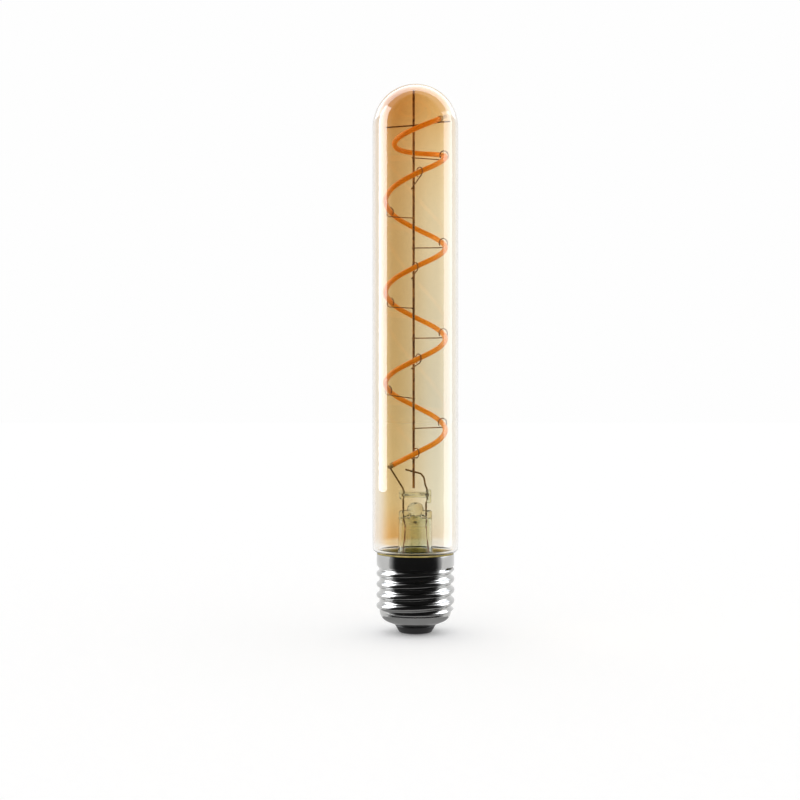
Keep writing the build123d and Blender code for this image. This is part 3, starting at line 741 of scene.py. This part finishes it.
# metres, and degrees round the axis from the camera's side
left = {"azimuth": -98, "distance": 0.45, "width": 0.27, "bottom": 0.017, "top": 0.54}
right = {"azimuth": 95, "distance": 0.227, "width": 0.135, "bottom": 0.002, "top": 0.30}
soft_box("left box in reflections", radiance=7.0, mirrored=True, **left)
soft_box("right box in reflections", radiance=3.4, mirrored=True, **right)
soft_box("left box on matt surfaces", radiance=0.5, mirrored=False, **left)
soft_box("right box on matt surfaces", radiance=0.5, mirrored=False, **right)

# %% [markdown]
# A bright arch behind and above the bulb joins the two strips over the dome. The black
# card is its opposite: an upright sheet bent round the bulb's front, with a foot that lies
# on the floor and a roof. A grey disc lies under the cap. Each of them is a line spun round
# an axis, and only reflections see them.

# %% Sheets that only reflections see


def reflected_sheet(name, line, centre, axis, degrees, material, through_glass=False):
    """A line of points spun round an axis, seen by reflections and, if asked, through glass."""
    work = bmesh.new()
    corners = [work.verts.new(corner) for corner in line]
    edges = [work.edges.new(pair) for pair in zip(corners, corners[1:])]
    bmesh.ops.spin(
        work, geom=corners + edges, cent=centre, axis=axis, dvec=(0, 0, 0),
        angle=math.radians(degrees), steps=48)
    mesh = bpy.data.meshes.new(name)
    work.to_mesh(mesh)
    work.free()
    mesh.materials.append(material)
    sheet = bpy.data.objects.new(name, mesh)
    sheet.visible_camera = False
    sheet.visible_diffuse = False
    sheet.visible_shadow = False
    sheet.visible_transmission = through_glass
    bpy.context.scene.collection.objects.link(sheet)
    print(name, len(mesh.polygons), "faces")


# %% Arch
arch_glow = new_material("glowing arch cloth")
glow = add_node(arch_glow, "ShaderNodeEmission", values={"Color": linear("ecf0fa"), "Strength": 4.4})
finish_with(arch_glow, glow)

# the arch is 100 to 138 degrees from the camera's side, 65 degrees to each side of upright
arch_radius = 0.6
arch_half_degrees = 65
arch_centre = Vector((0, 0, 0.165))
arch_line = []
for angle in (100, 119, 138):
    upright = Vector((0, -math.cos(math.radians(angle)), math.sin(math.radians(angle)))) * arch_radius
    arch_line.append(Matrix.Rotation(math.radians(-arch_half_degrees), 3, "Y") @ upright + arch_centre)
reflected_sheet("glowing_arch", arch_line, arch_centre, (0, 1, 0), 2 * arch_half_degrees, arch_glow)

# %% [markdown]
# The card is black velvet. Its two ends glow a little, a painted spill of light from the
# boxes, which softens the edges of the cap's dark band. Light that the glass mirrors from
# inside leaves through the glass, so the renderer counts it as light seen through glass,
# and the card has to be there for such rays. But a card that stands behind the glass,
# seen from the back, would make it black. So only a ray that was mirrored on its way meets
# the card.

# %% Black card
card_half_degrees = 80
painted_spill_degrees = 20
card_black = new_material("black velvet card")
place = add_node(card_black, "ShaderNodeTexCoord")
parts = add_node(card_black, "ShaderNodeSeparateXYZ", links={0: place.outputs["Object"]})
front = add_node(
    card_black, "ShaderNodeMath", operation="MULTIPLY", values={1: -1.0}, links={0: parts.outputs["Y"]})
aside = add_node(
    card_black, "ShaderNodeMath", operation="ARCTAN2", links={0: parts.outputs["X"], 1: front.outputs[0]})
either_side = add_node(card_black, "ShaderNodeMath", operation="ABSOLUTE", links={0: aside.outputs[0]})
# painted spill light: the card's two ends glow, rising to half strength at its edges
painted_spill_mask = add_node(
    card_black, "ShaderNodeMapRange", interpolation_type="SMOOTHSTEP",
    values={
        "From Min": math.radians(card_half_degrees - painted_spill_degrees),
        "From Max": math.radians(card_half_degrees),
        "To Max": 0.5,
    },
    links={"Value": either_side.outputs[0]})
painted_spill_glow = add_node(card_black, "ShaderNodeEmission", links={"Strength": painted_spill_mask.outputs[0]})
velvet = add_node(card_black, "ShaderNodeBsdfDiffuse", values={"Color": linear("202020")})
card_face = add_node(card_black, "ShaderNodeAddShader", links={0: velvet.outputs[0], 1: painted_spill_glow.outputs[0]})
rays = add_node(card_black, "ShaderNodeLightPath")
open_air = add_node(card_black, "ShaderNodeBsdfTransparent")
card_or_air = add_node(
    card_black, "ShaderNodeMixShader",
    links={0: rays.outputs["Glossy Depth"], 1: open_air.outputs[0], 2: card_face.outputs[0]})
finish_with(card_black, card_or_air)

# the card runs from 80 degrees left of the camera's side to 80 degrees right of it; each
# point of its line is a distance from the axis and a height, in metres
disc_radius = 0.020
card_radius = 0.30
card_side = math.radians(-card_half_degrees)
card_start = Vector((math.sin(card_side), -math.cos(card_side), 0))
card_profile = [(disc_radius, 0.4 * MM), (card_radius, 0.4 * MM), (card_radius, 0.9), (0.01, 1.0)]
card_line = [card_start * away + Vector((0, 0, up)) for away, up in card_profile]
reflected_sheet(
    "black_card", card_line, (0, 0, 0), (0, 0, 1), 2 * card_half_degrees, card_black, through_glass=True)

# %% [markdown]
# The cap's lower cone and the undersides of the threads look down at the floor. The grey
# disc there glows at a fixed grey, a painted reflection of the shaded floor under the cap,
# and gives them a middle tone between the card's black and the floor's white.

# %% Grey disc
painted_floor_shade = new_material("grey glow for painted floor shade")
# painted reflection: a fixed grey glow for the shaded floor under the cap
grey = add_node(painted_floor_shade, "ShaderNodeEmission", values={"Color": linear("a4a4a4"), "Strength": 1.0})
finish_with(painted_floor_shade, grey)
disc_line = [Vector((0.2 * MM, 0, 0.2 * MM)), Vector((disc_radius, 0, 0.2 * MM))]
reflected_sheet("grey_disc", disc_line, (0, 0, 0), (0, 0, 1), 360, painted_floor_shade)
